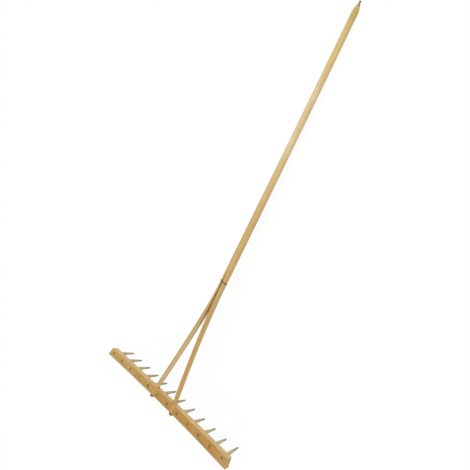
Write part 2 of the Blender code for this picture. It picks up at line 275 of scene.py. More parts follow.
def finishPiece(obj, slotName, *nodes, crease):
    obj.data.set_sharp_from_angle(angle=radians(crease))
    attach(obj, "root")
    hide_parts(*nodes)
    print("Made", obj.name, "with", sum(len(face.vertices) - 2 for face in obj.data.polygons), "triangles")


# Wood and its marks, as node groups. Their Place runs along the grain in Z, in metres.

def makeLongGrain():
    tree, given, made = startGroup("Long grain", "ShaderNodeTree", {
        "Place": (0.0, 0.0, 0.0), "Pith": (0.01, 0.02, 0.0), "Ring spacing": 0.0024, "Wander": 0.0016,
        "Fibre width": 0.0005, "Streak length": 0.12, "Seed": 1.0,
    }, ("Rings", "Fibres", "Streaks", "Patches", "Height"))
    shifted = given["Place"] + given["Seed"]

    # growth rings: distance from a wandering pith
    drift = noise(shifted * (9.0, 9.0, 2.6), detail=1.0, output="Color") - (0.5, 0.5, 0.5)
    fromPith = given["Place"] - given["Pith"] + drift * (given["Wander"] * 2.0)
    turns = reckon("LENGTH", fromPith * (1.0, 1.0, 0.0), output="Value") / given["Ring spacing"]
    spread = noise(joinXYZ(turns), scale=0.45, detail=0.0) * 2.2
    rings = (reckon("SINE", (turns + spread) * (2 * pi)) * 0.5 + 0.5) ** 2.4

    # fibres and pores, streaks a few millimetres wide, and slow patches
    def stretched(across, along):
        return shifted * joinXYZ(across, across, along)

    perFibre = 1.0 / given["Fibre width"]
    fibres = noise(stretched(perFibre, perFibre / 70.0), detail=3.0, roughness=0.65)
    fibres = passage(fibres, 0.32, 0.68, kind="LINEAR")
    perStreak = 1.0 / given["Streak length"]
    streaks = noise(stretched(perStreak * 28.0, perStreak), detail=4.0, roughness=0.6)
    streaks = passage(streaks, 0.33, 0.67)
    patches = passage(noise(stretched(perStreak * 3.4, perStreak * 1.5)), 0.34, 0.66)
    feedAll(made, {"Rings": rings, "Fibres": fibres, "Streaks": streaks, "Patches": patches,
                   "Height": rings * -0.35 + (streaks * 0.2 + fibres * 0.6)})
    return tree


def makeHandling():
    tree, given, made = startGroup("Handling marks", "ShaderNodeTree", {
        "Place": (0.0, 0.0, 0.0), "Spot size": 0.004, "Amount": 0.5, "Seed": 1.0,
    }, ("Soil", "Specks", "Nicks"))
    scaled = (given["Place"] + joinXYZ(given["Seed"], 2.0, given["Seed"])) * (1.0 / given["Spot size"])
    soil = noise(scaled * (0.18, 0.18, 0.06), detail=5.0, roughness=0.62)
    edge = given["Amount"] * -0.22 + 0.62
    chosen = noise(scaled, scale=0.3, detail=1.0)
    specks = passage(voronoi(scaled * (1.0, 1.0, 0.45)), 0.2, 0.08) * passage(chosen, 0.52, 0.6)
    nicks = noise(scaled * (1.2, 1.2, 6.0), detail=1.0, distortion=0.6)
    feedAll(made, {"Soil": passage(soil, edge, edge + 0.2), "Specks": specks,
                   "Nicks": passage(nicks, 0.70, 0.76)})
    return tree


def makeZone():
    # a mask that grows from Start to End along a value, with a ragged edge
    tree, given, made = startGroup("Ragged zone", "ShaderNodeTree", {
        "Place": (0.0, 0.0, 0.0), "Value": 0.0, "Start": 0.0, "End": 1.0, "Raggedness": 0.002,
        "Patch size": 0.003}, ("Mask",))
    push = (noise(given["Place"] * (1.0 / given["Patch size"])) - 0.5) * given["Raggedness"]
    feed(made["Mask"], passage(given["Value"] + push, given["Start"], given["End"]))
    return tree


longGrain = makeLongGrain()
handling = makeHandling()
zone = makeZone()
print("Grain and wear groups built")


def startMaterial(name):
    material = bpy.data.materials.new(name)
    material.use_nodes = True
    return material, material.node_tree, material.node_tree.nodes["Principled BSDF"]


def attribute(tree, name, output="Fac"):
    return addNode("ShaderNodeAttribute", None, output, tree, attribute_type="GEOMETRY", attribute_name=name)


def marksAt(look, where):
    return (place(longGrain, {"Place": where, **look["grain"]})
            | place(handling, {"Place": where, **look["wear"]}))


# A look's coats are laid over its base colour in their order. Each says how strongly, in which
# shade and where: a span names a measure and the places on it where the coat starts and is full,
# in metres. A zone is a span with a ragged edge. A mask takes the higher of two sets of spans.

def covered(share, spans, measures):
    for name, *limits in spans:
        share = (passage(measures[name], *limits) if limits else measures[name]) * share
    return share


def paint(look, where, measures):
    for title, (name, start, end, raggedness) in look.get("zones", {}).items():
        measures[title] = place(zone, {"Place": where, "Value": measures[name], "Start": start, "End": end,
                                       "Raggedness": raggedness})["Mask"]
    for title, options in look.get("masks", {}).items():
        measures[title] = reckon("MAXIMUM", *[covered(1.0, spans, measures) for spans in options])
    colour = look["base"]
    for share, shade, *spans in look["coats"].values():
        colour = blend(covered(share, spans, measures), colour, measures.get(shade, shade))
    return colour


def bump(height, look):
    return addNode("ShaderNodeBump", {"Strength": look["reliefStrength"], "Distance": look["reliefDepth"],
                                      "Height": height}, "Normal")


def finishWood(shader, look, where, measures, roughness):
    feedAll(shader.inputs, {
        "Base Color": paint(look, where, measures), "Specular IOR Level": look["shine"],
        "Roughness": measures["Fibres"] * look["fibreRoughness"] + roughness,
        "Normal": bump(measures["Nicks"] * -look["nickDepth"] + measures["Height"], look)})


# What the pole and its binding share

bindingWire = {
    "at": 0.5395,               # from the bar's middle
    "radius": 0.0009,
    "tilt": 17.0,               # degrees that the ring leans on the pole
    "tiltTowards": 50.0,        # where round the pole it is highest, from the twist
    "twistTurns": 3.0,
    "twistLength": 0.025,
    "twistDrop": 0.0027,        # from the ring's middle to where the twist starts
    "strandGap": 0.0005,
    "opening": 28.0,            # degrees of the ring that the twist bridges
    "clearance": 0.0003,
    "fineness": 0.0006,         # length of one step along the wire
    "ringSteps": 44,            # points that its route is drawn through
    "twistSteps": 36,
    "sides": 14,
}


# Split handle: an ash pole, sawn down its middle at the head end and spread into two prongs.
# Its own Z axis runs from the bar's middle to the tip, X along the bar, and -Y is its upper side.

splitHandle = {
    "tipAt": 1.742,             # from the bar's middle to the pole's far tip
    "radiusAtSplit": 0.0150,
    "radiusAtTip": 0.0130,
    "pointLength": 0.042,       # the whittled point
    "pointRadius": 0.0034,
    "pointEndLength": 0.0063,   # its blunt end
    "pointEndFlare": 0.0005,
    "pointRounding": 0.0013,
    "pointCuts": 9,             # knife cuts round the point
    "pointCutTurn": 0.16,       # how unevenly they stand round it, as a share of one
    "pointCutDepth": 0.0006,    # how much deeper than its neighbours one may be
    "pointCutGirth": 0.972,
    "bow": 0.0020,              # how far the pole's middle bends along the bar
    "setOff": 0.0132,           # how far the pole stands to one side of the bar's middle
    "tilt": 5.36,               # degrees that it rises from the bar's wide face
    "skew": 0.17,
    "splitPastWire": 0.026,
    "kerf": 0.0020,             # width of the saw cut
    "kerfAtSplit": 0.0011,      # width it is squeezed to at the wire and past it
    "squeezeFrom": 0.036,       # how far before the wire that starts, and is full
    "squeezeTo": 0.006,
    "crackLength": 0.022,       # how far a crack runs on past the cut
    "crackNarrowing": 0.92,
    "lipEasing": 0.0008,        # rounding of the sawn edges
    "prongSpread": 0.112,
    "prongDepth": 0.0155,
    "prongHeight": 0.0210,
    "prongStiffness": {-1: 0.40, 1: 2.0},       # how late each prong starts to spread
    "shoulderEnd": 0.018,       # where a prong is fully round
    "shoulderStart": 0.054,
    "shoulderCuts": 8,
    "shoulderCutDepth": 0.0004,
    "prongEnd": -0.029,
    "tenonRadius": 0.0088,
    "tenonSetIn": 0.0055,
    "tenonRounding": 0.0022,
    "flats": 14,                # faint flats left by the spokeshave
    "flatDepth": 0.00010,
    "unevenness": 0.00008,
    "shavenOff": 0.00005,       # what the whole pole loses
    "endInset": 0.00003,
    "seed": 11,
    "fineBefore": 0.016,        # how far before the shoulder and the point finer sections start
    "fineBeforePoint": 0.006,
    "steps": {"prong": 86, "shoulder": 40, "tenonEnd": 6, "crack": 10, "pole": 150, "point": 40, "tip": 5},
    "shoulderStep": 0.0014,
    "pointStep": 0.0010,
    "tenonSections": [0.011, 0.005, -0.005, -0.012, -0.0155, -0.019, -0.023],
}
wireAt = bindingWire["at"]
splitAt = wireAt + splitHandle["splitPastWire"]
ontoBar = layDown @ Matrix.Translation((splitHandle["setOff"], 0, 0)) @ Euler(
    (radians(splitHandle["tilt"] - 90), 0, radians(splitHandle["skew"]))).to_matrix().to_4x4()


def clipped(share):
    return min(max(share, 0.0), 1.0)


def poleRadius(z):
    h = splitHandle
    return h["radiusAtSplit"] - (h["radiusAtSplit"] - h["radiusAtTip"]) * (z - splitAt) / (h["tipAt"] - splitAt)


def poleBow(z):
    return splitHandle["bow"] * sin(pi * clipped((z - wireAt) / (splitHandle["tipAt"] - wireAt)))


def prongShift(z, side):
    # how far a prong has moved sideways at z
    h = splitHandle
    reach = side * (h["prongSpread"] / 2 - h["tenonSetIn"] - h["kerf"] / 2) - h["setOff"]
    stiff = h["prongStiffness"][side]
    s = (wireAt - z) / wireAt
    if s <= 0:
        return 0.0
    if s <= 1:
        return reach * s * s * (1 + stiff) / (s + stiff)
    return reach * (1 + (1 + 2 * stiff) / (1 + stiff) * (s - 1))


def tenonShift(z, side):
    h = splitHandle
    near, far = prongShift(h["shoulderEnd"], side), prongShift(h["prongEnd"], side)
    return near + (far - near) * (z - h["shoulderEnd"]) / (h["prongEnd"] - h["shoulderEnd"])


def halfKerf(z):
    # half the width of the saw cut, which the wire squeezes narrower
    h = splitHandle
    return np.interp(z, [wireAt - h["squeezeFrom"], wireAt - h["squeezeTo"]],
                     [h["kerf"] / 2, h["kerfAtSplit"] / 2])


def prongSize(share):
    # a prong's depth and height, from the end of the cut at 0 to its shoulder at 1
    h = splitHandle
    fullDepth = h["radiusAtSplit"] - h["kerf"] / 2
    return (fullDepth + (h["prongDepth"] - fullDepth) * share,
            h["radiusAtSplit"] + (h["prongHeight"] / 2 - h["radiusAtSplit"]) * share)


outerSteps, easingSteps, innerPoints, crackPoints = 36, 3, 15, 4
outerRun = list(range(outerSteps + 1))
lowerEase = [outerSteps + 1 + i for i in range(easingSteps)]
innerRun = [lowerEase[-1] + 1 + i for i in range(innerPoints)]
upperEase = [innerRun[-1] + 1 + i for i in range(easingSteps)]


def halfSection(side, halfGap, lipRadius, core, depth, inner, height, easing, closing=0.0):
    # One half of the pole in cross-section: round outside from the upper lip to the lower one,
    # then back up its sawn side. closing shrinks the sawn side to a crack near the lips.
    lip = asin(halfGap / lipRadius)
    widest = side * (halfGap + core)
    last = pi / 2 - lip - easing / depth
    turn = np.linspace(-last, last, outerSteps + 1)
    bulge = (np.cos(turn) - sin(lip)) / (1 - sin(lip))
    outer = np.stack([widest + side * depth * bulge, height * np.sin(turn)], axis=-1)
    edgeY = height * cos(lip)
    across = np.linspace(1, -1, innerPoints)
    y = across * (edgeY - easing)
    if closing:
        rank = np.minimum(np.arange(innerPoints), np.arange(innerPoints)[::-1])
        step = 2 * (edgeY - easing) / (innerPoints - 1)
        y = np.sign(across) * (edgeY - easing - rank * step * (1 - closing))
        narrowing = splitHandle["crackNarrowing"] * np.minimum(rank / (crackPoints - 1), 1.0)
        x = widest * (1 - narrowing * min(closing * 6, 1.0))
    else:
        x = widest - side * inner * np.sqrt(np.maximum(1 - (y / height) ** 2, 0.0))
    sawn = np.stack([x, y], axis=-1)

    def corner(start, middle, end):
        steps = [(i + 1) / (easingSteps + 1) for i in range(easingSteps)]
        return np.array([(1 - s) ** 2 * start + 2 * s * (1 - s) * middle + s * s * end for s in steps])

    lower = corner(outer[-1], np.array([widest, edgeY]), sawn[0])
    upper = corner(sawn[-1], np.array([widest, -edgeY]), outer[0])
    return np.concatenate([outer, lower, sawn, upper])


def prongSection(z, side):
    h = splitHandle
    depth, height = prongSize(clipped((splitAt - z) / (splitAt - h["shoulderStart"])))
    halfGap = halfKerf(z)
    size = np.array([0.0, depth + h["kerf"] / 2 - halfGap, 0.0, height, h["lipEasing"]])
    roundSize = np.array([h["tenonSetIn"], *[h["tenonRadius"]] * 3, h["lipEasing"] / 5])
    turned = clipped((h["shoulderStart"] - z) / (h["shoulderStart"] - h["shoulderEnd"]))
    turned = 0.6 * turned + 0.4 * eased(0.0, 1.0, turned)
    core, depth, inner, height, easing = size + (roundSize - size) * turned
    section = halfSection(side, halfGap, h["radiusAtSplit"], core, depth, inner, height, easing)

    # knife cuts where it is whittled round, twisting a little along it
    cutting = h["shoulderCutDepth"] * eased(h["shoulderStart"] + 0.012, h["shoulderStart"] - 0.008, z) \
        * eased(0.014, h["shoulderEnd"] + 0.004, z)
    middle = section.mean(axis=0)
    arm = section - middle
    turn = np.arctan2(arm[:, 1], arm[:, 0]) + 0.5 * side + 0.35 * sin(z * 190)
    ridge = np.abs((turn / (2 * pi / h["shoulderCuts"])) % 1.0 - 0.5) * 2
    return middle + arm * (1 - cutting * (1 - ridge ** 2) / np.linalg.norm(arm, axis=1))[:, None]


def onPole(z, points):
    # the pole's faint flats and unevenness, which only take wood away
    h = splitHandle
    turn = np.arctan2(points[:, 1], points[:, 0])
    taken = (h["shavenOff"] + h["flatDepth"] * (0.5 + 0.5 * np.cos(h["flats"] * turn + 1.3 * sin(3.1 * z)))
             + h["unevenness"] * (1 + 0.6 * np.sin(9 * z + turn) + 0.4 * np.sin(31 * z + 2 * turn + 1)))
    taken *= eased(0.030, 0.075, z)
    reach = np.maximum(np.linalg.norm(points, axis=1), 0.002)
    return points * (1 - taken / reach)[:, None]


def pointedRadius(z, turns):
    # the pole's radius round its whittled point, cut by cut
    h = splitHandle
    start = h["tipAt"] - h["pointLength"]
    cone = np.interp(
        z, [start - 0.010, start, h["tipAt"] - h["pointEndLength"], h["tipAt"] - h["pointRounding"]],
        [poleRadius(start) + 0.0025, poleRadius(start), h["pointRadius"] + h["pointEndFlare"],
         h["pointRadius"]])
    draw = np.random.default_rng(h["seed"])
    radius = np.full(len(turns), poleRadius(min(z, start)))
    for cut in range(h["pointCuts"]):
        facing = 2 * pi * (cut + draw.uniform(-h["pointCutTurn"], h["pointCutTurn"])) / h["pointCuts"]
        early = draw.uniform(0.0, h["pointCutDepth"])
        off = np.cos(turns - facing)
        flat = (cone * h["pointCutGirth"] - early) / np.maximum(off, 0.05)
        radius = np.minimum(radius, np.where(off > 0.5, flat, 1.0))
    return radius


def makeSplitHandle(finish):
    h, steps = splitHandle, splitHandle["steps"]
    points, places = [], []

    def addSection(z, section, shift):
        first = sum(len(part) for part in points)
        points.append(atHeight(section[:, 0] + shift, section[:, 1], z))
        places.append(atHeight(section[:, 0], section[:, 1], z))
        return list(range(first, first + len(section)))

    def closeEnd(ring, z, shift):
        # a sawn end: smaller and smaller rings, then one point
        section = np.concatenate(places)[ring][:, :2]
        middle = section.mean(axis=0)
        rings = [ring] + [addSection(z, middle + (section - middle) * share, shift)
                          for share in (0.75, 0.5, 0.25)]
        tip = addSection(z, middle[None, :], shift)[0]
        return walls(rings) + [(rings[-1][i], rings[-1][(i + 1) % len(ring)], tip) for i in range(len(ring))]

    fineFrom = h["shoulderStart"] + h["fineBefore"]
    stations = [splitAt + (fineFrom - splitAt) * i / steps["prong"] for i in range(steps["prong"] + 1)]
    stations += [fineFrom - h["shoulderStep"] * (i + 1) for i in range(steps["shoulder"])] + h["tenonSections"]
    faces, halves = [], {}
    for side in (-1, 1):
        rings = []
        for z in stations:
            shift = prongShift(z, side) if z > h["shoulderEnd"] else tenonShift(z, side)
            rings.append(addSection(z, onPole(z, prongSection(z, side)), shift))
        for i in range(steps["tenonEnd"] + 1):
            turn = radians(90 * i / steps["tenonEnd"])
            z = h["prongEnd"] + h["tenonRounding"] * (1 - sin(turn))
            section = prongSection(z, side)
            middle = section.mean(axis=0)
            radius = h["tenonRadius"] - h["tenonRounding"] * (1 - cos(turn))
            section = middle + (section - middle) * radius / h["tenonRadius"]
            rings.append(addSection(z, section, tenonShift(z, side)))
        faces += walls(rings) + closeEnd(rings[-1], h["prongEnd"], tenonShift(h["prongEnd"], side))
        halves[side] = rings[0]

    # the end of the saw cut, between the crack above and the crack below
    left, right = halves[-1], halves[1]
    cutEnd = innerRun[crackPoints - 1:innerPoints - crackPoints + 1]
    faces += [(right[a], right[b], left[b], left[a]) for a, b in zip(cutEnd, cutEnd[1:])]

    # on a full pole the two halves share one ring, with a crack between their lips
    downInto = lowerEase + innerRun[:crackPoints]
    upOut = innerRun[-crackPoints:] + upperEase

    def poleOrder(rightRing, leftRing):
        return ([rightRing[i] for i in outerRun + downInto] + [leftRing[i] for i in reversed(downInto)]
                + [leftRing[i] for i in reversed(outerRun)] + [leftRing[i] for i in reversed(upOut)]
                + [rightRing[i] for i in upOut])

    rings = [poleOrder(right, left)]
    fineFrom = h["tipAt"] - h["pointLength"] - h["fineBeforePoint"]
    crackSteps = [(i + 1) / steps["crack"] for i in range(steps["crack"])]
    stations = [(splitAt + h["crackLength"] * s, 1 - s) for s in crackSteps]
    start = stations[-1][0]
    plain = [start + (fineFrom - start) * (i + 1) / steps["pole"] for i in range(steps["pole"])]
    plain += [fineFrom + h["pointStep"] * (i + 1) for i in range(steps["point"])]
    stations += [(z, 0.0) for z in plain if z < h["tipAt"] - h["pointRounding"]]
    for z, gape in stations:
        radius = poleRadius(z)
        halfGap = h["kerfAtSplit"] / 2 * gape ** 0.7
        pair = onPole(z, np.concatenate([
            halfSection(side, halfGap, radius, 0.0, radius - halfGap, 0.0, radius, h["lipEasing"] * gape,
                        closing=1 - gape) for side in (1, -1)]))
        if z > fineFrom - h["fineBeforePoint"]:
            reach = np.linalg.norm(pair, axis=1)
            limit = pointedRadius(z, np.arctan2(pair[:, 1], pair[:, 0]))
            pair = pair * (np.minimum(limit, reach) / reach)[:, None]
        ring = addSection(z, pair, poleBow(z))
        rings.append(poleOrder(ring[:len(ring) // 2], ring[len(ring) // 2:]))
    lastSection = np.concatenate(places)[rings[-1]][:, :2]
    for i in range(steps["tip"] + 1):
        turn = radians(90 * i / steps["tip"])
        z = h["tipAt"] - h["endInset"] - h["pointRounding"] * (1 - sin(turn))
        share = 1 - h["pointRounding"] * (1 - cos(turn)) / h["pointRadius"]
        rings.append(addSection(z, lastSection * share, poleBow(z)))
    faces += walls(rings) + closeEnd(rings[-1], h["tipAt"] - h["endInset"], poleBow(h["tipAt"]))

    mesh = ringMesh("splitHandle", np.concatenate(points), np.concatenate(places), faces)
    mesh.transform(ontoBar)
    mesh.materials.append(finish)
    finishPiece(newObject("splitHandle", mesh), "handle_wood", "split_handle", crease=52)


handleLook = {
    "grain": {"Pith": (0.019, 0.034, 0.0), "Ring spacing": 0.0031, "Wander": 0.0034, "Fibre width": 0.0005,
              "Streak length": 0.20, "Seed": 4.0},
    "wear": {"Amount": 0.35, "Spot size": 0.0022, "Seed": 2.0},
    "slowPatches": (45.0, 45.0, 16.0),          # how many to a metre, across and along the grain
    "base": srgb(201, 173, 110),
    "zones": {
        "underWire": ("fromWire", 0.004, 0.0016, 0.002),
        "prongEnd": ("z", -0.0150, -0.0215, 0.004),
        "tip": ("z", splitHandle["tipAt"] - 0.015, splitHandle["tipAt"] - 0.002, 0.008),
    },
    "masks": {
        # the left prong's outer and inner rims, where painted shade is laid
        "edges": ((("x", -0.0030, -0.0105, 0.0, 0.85),),
                  (("y", 0.0015, 0.0065), ("x", 0.0, -0.0005), ("z", 0.20, 0.36, 0.6, 0.9))),
    },
    "coats": {
        "paleStretch": (1.0, srgb(236, 216, 174), ("paleStretchSpan",)),
        "straw": (1.0, srgb(221, 199, 128), ("z", 1.32, 1.52)),
        "olive": (1.0, srgb(192, 173, 92), ("z", 1.58, 1.70)),
        "rightProng": (1.0, srgb(172, 136, 60), ("x", -0.0005, 0.0015), ("z", 0.52, 0.38),
                       ("x", 0.0150, 0.0110), ("z", 0.32, 0.20, 0.75, 0.95)),
        "olivePatches": (0.2, srgb(192, 173, 92), ("slow", 0.50, 0.62)),
        "rosyPatches": (0.25, srgb(226, 184, 138), ("slow", 0.48, 0.36)),
        "orangePatches": (0.30, srgb(212, 166, 100), ("Patches",)),
        "streaks": (0.28, srgb(176, 144, 90), ("Streaks",)),
        "rings": (0.34, srgb(176, 144, 90), ("Rings",)),
        "fibres": (0.22, srgb(170, 140, 88), ("Fibres",)),
        "soil": (0.22, srgb(120, 98, 66), ("Soil",)),
        "specks": (0.45, srgb(120, 98, 66), ("Specks",)),
        # the cut's reddish tone on its edges, partly stain and partly painted shade of the narrow gap
        "cutLipsStainAndShade": (0.45, srgb(160, 96, 14), ("fromCut", 0.0038, 0.0014), ("z", 0.30, 0.36),
                    ("z", 0.556, 0.535)),
        # the sawn sides: paler with painted light, with painted shade deep in the cut
        "sawnSides": (0.9, "sawn", ("fromCut", 0.0019, 0.0013), ("z", 0.552, 0.545),
                      ("z", splitHandle["shoulderEnd"], 0.040)),
        # painted shade in the narrow crack past the cut
        "crack": (0.85, srgb(108, 78, 38), ("fromCut", 0.0018, 0.0006), ("z", 0.535, 0.545),
                  ("z", 0.612, 0.580)),
        # painted shade along the left prong's rims
        "leftProngRimShade": (1.0, srgb(160, 134, 90), ("z", 0.44, 0.38), ("z", 0.02, 0.05), ("edges",)),
        # under the wire: a rust stain and a painted contact shadow
        "wireStainAndShadow": (0.85, srgb(92, 74, 50), ("underWire",)),
        # the prongs' ends below the bar: dark end grain with painted shade
        "prongEndGrainAndShade": (0.85, srgb(104, 80, 44), ("prongEnd",)),
        # the point darker olive, and darker on one side just before it
        "darkerTip": (0.85, srgb(98, 88, 54), ("tip",)),
        "darkerBesideTip": (0.55, srgb(98, 88, 54), ("x", 0.0006, 0.0030),
                          ("z", splitHandle["tipAt"] - 0.030, splitHandle["tipAt"] - 0.020)),
    },
    "sawn": {                   # paler than the outside: fresh wood, with painted light where it gets less light
        "base": srgb(234, 204, 143),
        # painted shade deep in the narrow cut, over the cut's reddish stain
        "masks": {"shadeDeepInCut": ((("z", 0.43, 0.50),), (("z", 0.32, 0.42), ("y", -0.005, 0.001)))},
        "coats": {"shadeDeepInCut": (1.0, srgb(160, 96, 14), ("shadeDeepInCut",)),
                  "fibres": (0.2, srgb(170, 140, 88), ("Fibres",))},
    },
    "paleStretchSpan": (0.75, 1.24),       # where the pole is paler and smoother
    "paleStretchRoughness": 0.46,
    "roughness": 0.56,
    "fibreRoughness": 0.10,
    "nickDepth": 0.5,
    "shine": 0.35,
    "reliefStrength": 0.35,
    "reliefDepth": 0.0003,
}


def makeHandleWood():
    look = handleLook
    material, tree, shader = startMaterial("handleWood")
    where = attribute(tree, "woodPlace", "Vector")
    x, y, z = splitXYZ(where)
    towards = radians(bindingWire["tiltTowards"])
    lift = reckon("DOT_PRODUCT", where, (-sin(towards), -cos(towards), 0.0), output="Value")
    fromWire = abs(z - lift * tan(radians(bindingWire["tilt"])) - wireAt)
    measures = marksAt(look, where) | {
        "x": x, "y": y, "z": z, "fromCut": abs(x), "fromWire": fromWire,
        "slow": noise(where * look["slowPatches"]), "paleStretchSpan": passage(z, *look["paleStretchSpan"])}
    measures["sawn"] = paint(look["sawn"], where, measures)
    roughness = measures["paleStretchSpan"] * (look["paleStretchRoughness"] - look["roughness"]) + look["roughness"]
    finishWood(shader, look, where, measures, roughness)
    return material


makeSplitHandle(makeHandleWood())


# Head bar: planed, bowed, its ends cut at a slant, drilled for the teeth and the prongs

def moved(shape, **change):
    return addNode("GeometryNodeSetPosition", {"Geometry": shape, **change})


def contents(objectValue):
    return addNode("GeometryNodeObjectInfo", {"Object": objectValue}, "Geometry")


def toothSpots(given):
    # points along the bar's bowed middle line, and a number that only the last one's is above
    lastOne = given["Tooth count"] - 1.0
    line = addNode("GeometryNodeMeshLine", {
        "Count": given["Tooth count"], "Start Location": joinXYZ(lastOne * given["Tooth pitch"] * -0.5),
        "Offset": joinXYZ(given["Tooth pitch"])})
    share = splitXYZ(addNode("GeometryNodeInputPosition", tree=line.tree))[0] * 2.0 / given["Length"]
    return moved(line, Offset=joinXYZ(0.0, share * share * (given["Bow"] * -1.0))), lastOne - 0.5


def buildHeadBar(tree, given):
    position = addNode("GeometryNodeInputPosition", tree=tree)
    cube = addNode("GeometryNodeMeshCube", {"Size": (2.0, 2.0, 2.0), "Vertices X": 401, "Vertices Y": 23,
                                            "Vertices Z": 23}, "Mesh", tree)
    half = joinXYZ(given["Length"], given["Width"], given["Thickness"]) * 0.5

    # points crowd together towards the edges, where the rounding is
    def crowded(value, power):
        return value * reckon("MULTIPLY_ADD", abs(value) ** float(power), -1 / power, 1 + 1 / power)

    u, v, w = splitXYZ(position)
    spot = joinXYZ(crowded(u, 40), crowded(v, 2.4), crowded(w, 2.4)) * half

    # eased edges, worn more in some places
    wear = noise((spot + given["Seed"]) * (14.0, 30.0, 30.0)) - 0.5
    radius = given["Easing"] * (wear * (given["Easing wear"] * 3.0) + 1.0)
    core = half - radius
    inner = reckon("MINIMUM", reckon("MAXIMUM", spot, core * -1.0), core)
    x, y, z = splitXYZ(inner + reckon("NORMALIZE", spot - inner) * radius)

    # slanted and wider ends, then the bow
    towardsPole = y / given["Width"] + 0.5
    x = x * (1.0 - given["End slant"] * 2.0 / given["Length"] * towardsPole)
    share = x * 2.0 / given["Length"]
    share = share * share
    flare = passage(x, 0.0, 0.0001, given["Left flare"], given["Right flare"]) * (share * (1.0 - towardsPole))
    shaped = moved(cube, Position=joinXYZ(x, y - flare - given["Bow"] * share, z))

    # plane marks and a few knocks, which only take wood away
    here = position + given["Seed"]
    ripple = noise(here * (22.0, 130.0, 130.0), detail=3.0)
    chosen = passage(noise(here, scale=34.0, detail=0.0), 0.56, 0.64)
    knock = passage(voronoi(here * (26.0, 60.0, 60.0)), 0.32, 0.0) * chosen
    depth = ripple * given["Planing"] + knock * given["Knocks"]
    planed = moved(shaped, Offset=addNode("GeometryNodeInputNormal", tree=tree) * (depth * -1.0))

    # holes for the teeth and the two mortises
    line, nearlyLast = toothSpots(given)
    isLast = reckon("GREATER_THAN", addNode("GeometryNodeInputIndex", tree=tree), nearlyLast)
    holes = addNode("GeometryNodeInstanceOnPoints", {
        "Points": moved(line, Offset=given["Last tooth off"] * isLast),
        "Rotation": given["Last tooth lean"] * isLast, "Instance": contents(given["Hole cutter"])})
    bored = addNode("GeometryNodeMeshBoolean", {"Mesh 1": planed}, operation="DIFFERENCE", solver="EXACT")
    holes = addNode("GeometryNodeRealizeInstances", {"Geometry": holes})
    for cutter in (holes, contents(given["Mortise cutter"])):
        feed(bored.socket.node.inputs["Mesh 2"], cutter)
    return addNode("GeometryNodeRealizeInstances", {"Geometry": bored})


rakeTeeth = {
    "count": 12,
    "pitch": 0.060,
    "reach": 0.1025,            # from the bar's front face to the blunt point
    "tenonRadius": 0.0060,
    "shoulderRadius": 0.0066,
    "bellyRadius": 0.0071,
    "pointRadius": 0.0026,
    "taper": {0.0: 0.89, 0.22: 1.0, 0.42: 0.87, 0.66: 0.53, 0.92: 0.26, 1.0: 0.0},      # reach: girth
    "pointRounding": 0.0015,
    "pointFlat": 0.0006,        # radius of its very end
    "frontGap": 0.0003,
    "cuts": 8,                  # knife cuts round a tooth's point
    "cutDepth": 0.055,          # as a share of the radius there
    "cutGirth": 1.012,
    "endEasing": 0.0003,
    "endInset": 0.00002,
    "thinnest": 0.985,          # how much thinner than that a tooth may be
    "roughening": 0.00012,
    "lastOff": (-0.0010, 0.0015),       # how far the last hole is off
    "lastLean": (-0.9, 3.3),            # degrees that the last tooth leans
    "lastShort": 0.0012,
    "sides": 48,
    "steps": 56,
    "seed": 5,
    "heartwoodSeed": 2649,      # which teeth have darker ends
}
frontFace = -headBar["thickness"] / 2 - rakeTeeth["frontGap"]


def makeHoleCutter():
    b = headBar
    radius, face, rim = rakeTeeth["tenonRadius"] + b["holeGap"], b["thickness"] / 2, b["holeEasing"]
    profile = [(radius + rim, face + 0.004), (radius + rim, face - 0.0001), (radius, face - rim - 0.0001)]
    profile += [(r, -z) for r, z in reversed(profile)]
    turns = turnsOf(b["cutterSides"])
    return tube("holeCutter", [atHeight(r * np.cos(turns), r * np.sin(turns), z) for r, z in profile])


def makeMortiseCutter():
    h, sides = splitHandle, headBar["cutterSides"]
    radius = h["tenonRadius"] + headBar["mortiseGap"]
    points, faces = [], []
    for side in (-1, 1):
        rings = []
        for z in (0.032, -0.032):
            middle = side * (h["kerf"] / 2 + h["tenonSetIn"]) + tenonShift(z, side)
            rings.append(list(range(len(points), len(points) + sides)))
            points += [(middle + radius * cos(t), radius * sin(t), z) for t in turnsOf(sides)]
        faces += walls(rings) + [tuple(rings[0]), tuple(rings[-1])]
    points = np.array(points)
    mesh = ringMesh("mortiseCutter", points, points, faces)
    mesh.transform(layDown.inverted() @ ontoBar)
    return mesh


